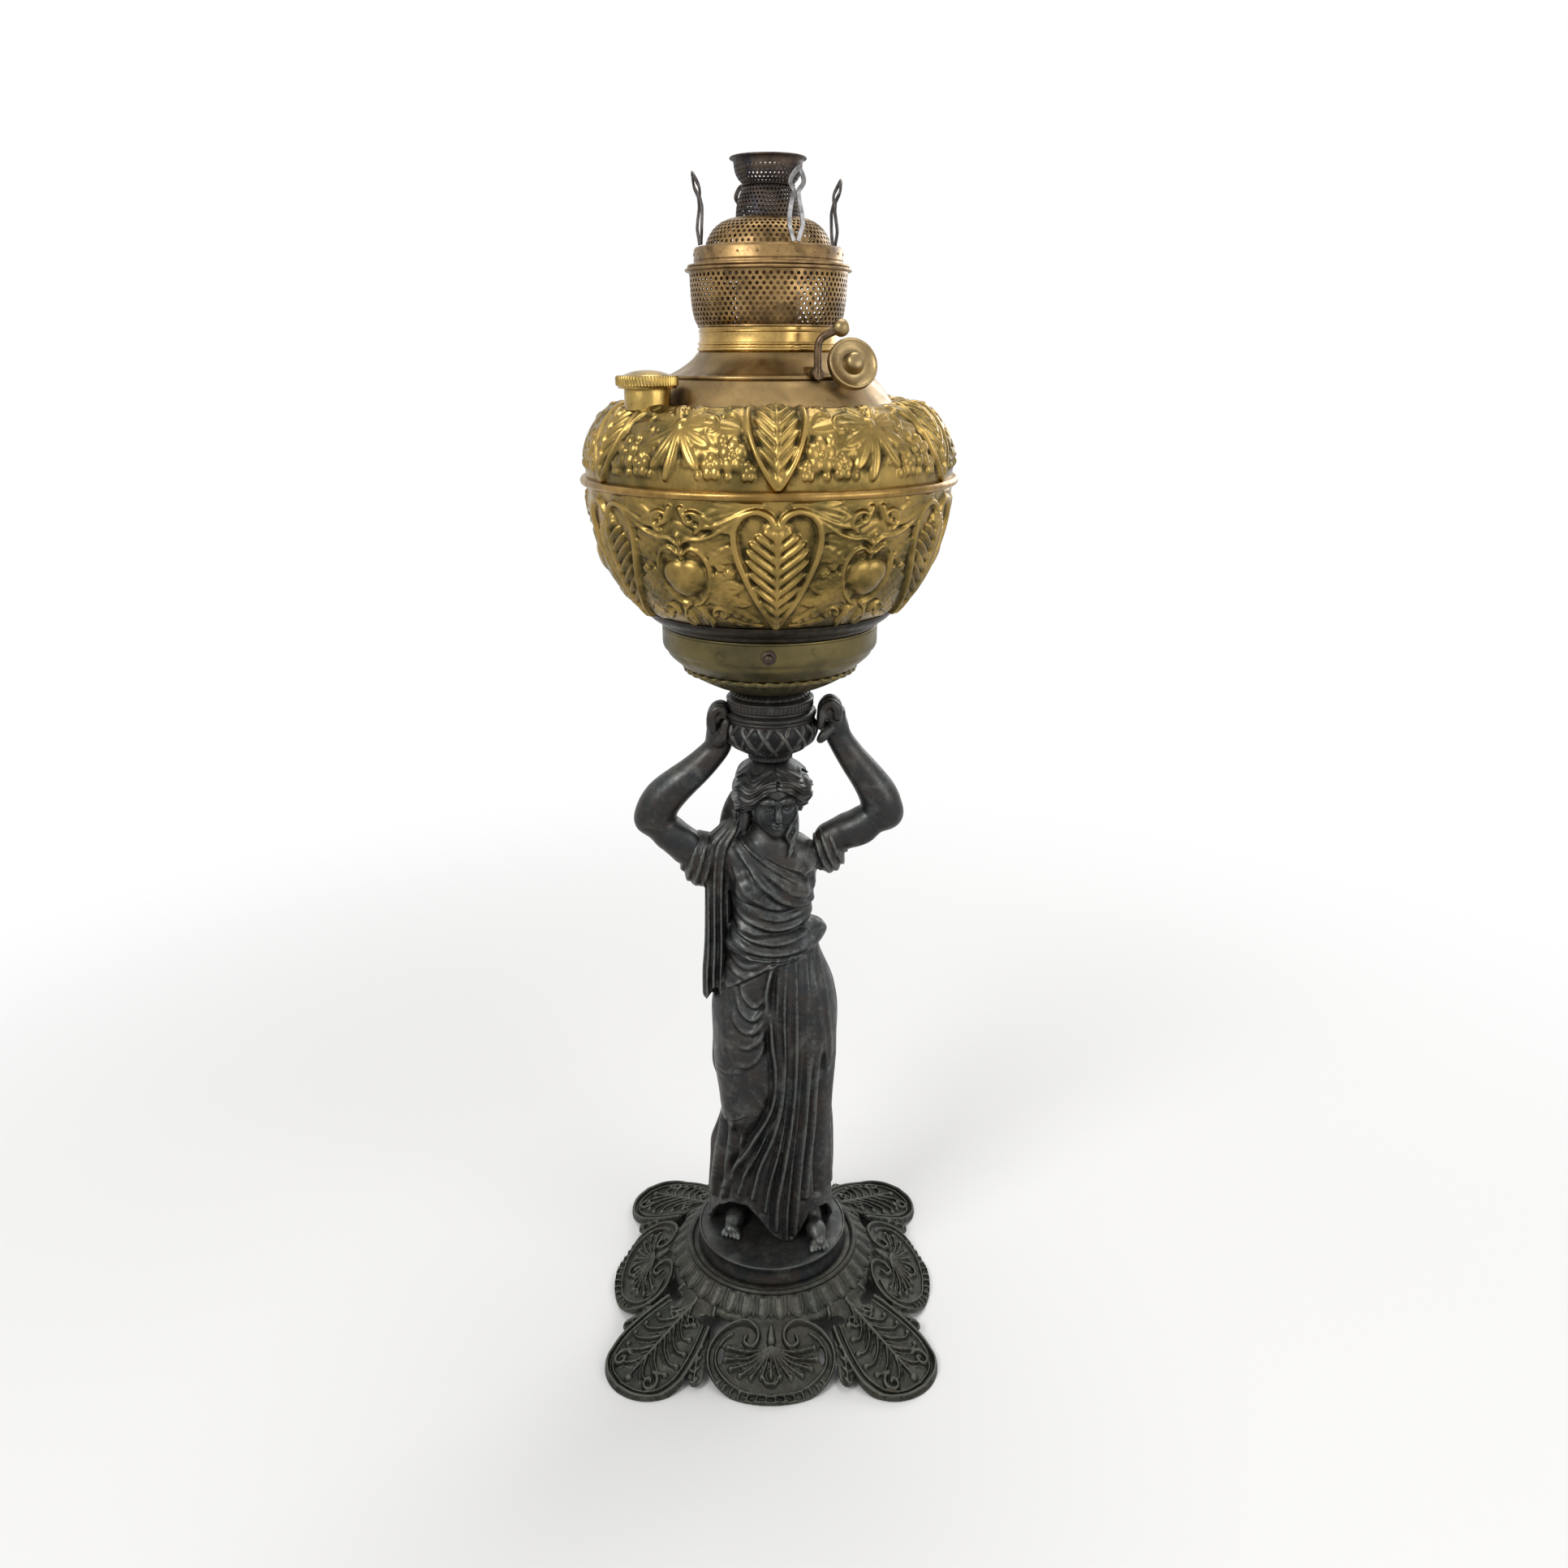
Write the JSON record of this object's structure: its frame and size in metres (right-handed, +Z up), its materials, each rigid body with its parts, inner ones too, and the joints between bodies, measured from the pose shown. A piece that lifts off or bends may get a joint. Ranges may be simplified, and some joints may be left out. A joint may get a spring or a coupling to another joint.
{
  "type": "figural oil table lamp",
  "caption": "Oil banquet lamp with a drop-in brass font, central-draught burner, lighting lever and wick raiser, carried by a cast maiden on a pierced lobed foot.",
  "frame": {"origin": "on the table, on the lamp's vertical axis", "axes": "+Z up; the figure faces -Y, so +X is to the right in the front view"},
  "size_m": [0.2154, 0.2154, 0.6918],
  "materials": {
    "blackened_iron": "cast and blackened, with grey-green wear and a little rust",
    "bronzed_spelter": "cast spelter, bronzed dark, worn to grey on the ridges",
    "aged_brass": "aged brown brass, satin",
    "embossed_brass": "embossed brass, warm and rubbed bright, with dark patina in the hollows",
    "blackened_brass": "blackened, dull",
    "bronze_brass": "brown tarnished brass, satin",
    "sooted_brass": "dull and sooted",
    "knob_brass": "handled brass, fairly bright",
    "steel": "plain steel, dulled",
    "dark_steel": "dark brown oxidised steel",
    "spring_steel": "spring steel, worn silvery",
    "wick_cotton": "woven cotton, charred at the top",
    "gasket_leather": "oiled leather"
  },
  "bodies": {
    "stand": {"base_casting": "blackened_iron", "figure_body": "bronzed_spelter", "figure_head": "bronzed_spelter", "arm_left": "bronzed_spelter", "arm_right": "bronzed_spelter", "carried_basket": "bronzed_spelter", "capital_ring": "aged_brass", "fluted_dome": "aged_brass", "tie_rod": "steel", "base_washer": "steel", "base_nut": "steel", "font_cup": "aged_brass", "cup_washer": "steel", "cup_nut": "steel", "set_screw": "steel"},
    "font": {"font_seat_band": "blackened_brass", "font_lower_shell": "embossed_brass", "font_upper_shell": "embossed_brass", "font_bead": "embossed_brass", "tank_cone": "aged_brass", "neck_collar": "aged_brass", "filler_neck": "aged_brass", "draught_tube": "bronze_brass", "outer_wick_tube": "bronze_brass", "burner_plate": "bronze_brass", "burner_basket": "bronze_brass", "raiser_gland": "aged_brass", "raiser_bracket": "bronze_brass", "lever_bush": "aged_brass"},
    "wick_knob": {"wick_knob": "knob_brass", "raiser_shaft": "steel", "raiser_pinion": "knob_brass"},
    "wick_carriage": {"raiser_rack": "bronze_brass", "wick_carrier": "bronze_brass", "wick": "wick_cotton"},
    "flame_spreader": {"spreader_bell": "sooted_brass", "spreader_cup": "sooted_brass"},
    "gallery": {"gallery_ring": "bronze_brass", "gallery_dome": "bronze_brass", "lift_rod": "steel"},
    "lighting_lever": {"lever_crank": "dark_steel", "lever_arm": "dark_steel", "lever_ball": "dark_steel"},
    "filler_cap_rise": {"cap_gasket": "gasket_leather"},
    "filler_cap": {"filler_cap": "knob_brass"},
    "prong_1": {"prong_1": "dark_steel"},
    "prong_2": {"prong_2": "dark_steel"},
    "prong_3": {"prong_3": "dark_steel"},
    "prong_4": {"prong_4": "spring_steel"}
  },
  "joints": [
    {"name": "font_lift", "type": "slide", "parent": "stand", "child": "font", "axis": [0, 0, 1], "range_m": [0, 0.02]},
    {"name": "wick_knob_turn", "type": "hinge", "parent": "font", "child": "wick_knob", "pos_m": [0.04165, -0.04498, 0.5942], "axis": [-0.3202, 0.877, -0.3584], "range_deg": [0, 142.7]},
    {"name": "wick_lift", "type": "slide", "parent": "font", "child": "wick_carriage", "axis": [0, 0, 1], "range_m": [0, 0.012]},
    {"name": "lighting_lever_turn", "type": "hinge", "parent": "font", "child": "lighting_lever", "pos_m": [0.02186, -0.04563, 0.5898], "axis": [0.4321, -0.9018, 0], "range_deg": [0, 60.1]},
    {"name": "gallery_lift", "type": "slide", "parent": "font", "child": "gallery", "axis": [0, 0, 1], "range_m": [0, 0.01]},
    {"name": "flame_spreader_lift", "type": "slide", "parent": "font", "child": "flame_spreader", "axis": [0, 0, 1], "range_m": [0, 0.012]},
    {"name": "filler_cap_lift", "type": "slide", "parent": "font", "child": "filler_cap_rise", "axis": [0, 0, 1], "range_m": [0, 0.003]},
    {"name": "filler_cap_turn", "type": "hinge", "parent": "filler_cap_rise", "child": "filler_cap", "pos_m": [-0.0595, -0.047, 0.5873], "axis": [0, 0, 1], "range_deg": [0, 720.1]},
    {"name": "prong_1_flex", "type": "hinge", "parent": "gallery", "child": "prong_1", "pos_m": [-0.03338, -0.01349, 0.6508], "axis": [0.3746, -0.9272, 0], "range_deg": [0, 6], "stiffness_Nm_per_rad": 0.05},
    {"name": "prong_2_flex", "type": "hinge", "parent": "gallery", "child": "prong_2", "pos_m": [0.01349, -0.03338, 0.6508], "axis": [0.9272, 0.3746, 0], "range_deg": [0, 6], "stiffness_Nm_per_rad": 0.05},
    {"name": "prong_3_flex", "type": "hinge", "parent": "gallery", "child": "prong_3", "pos_m": [0.03338, 0.01349, 0.6508], "axis": [-0.3746, 0.9272, 0], "range_deg": [0, 6], "stiffness_Nm_per_rad": 0.05},
    {"name": "prong_4_flex", "type": "hinge", "parent": "gallery", "child": "prong_4", "pos_m": [-0.01349, 0.03338, 0.6508], "axis": [-0.9272, -0.3746, 0], "range_deg": [0, 6], "stiffness_Nm_per_rad": 0.05}
  ],
  "couplings": [
    {"joint": "wick_knob_turn", "follows": "wick_lift", "rad_per_m": 207.46},
    {"joint": "lighting_lever_turn", "follows": "gallery_lift", "rad_per_m": 104.72},
    {"joint": "filler_cap_turn", "follows": "filler_cap_lift", "rad_per_m": 4188.8}
  ]
}
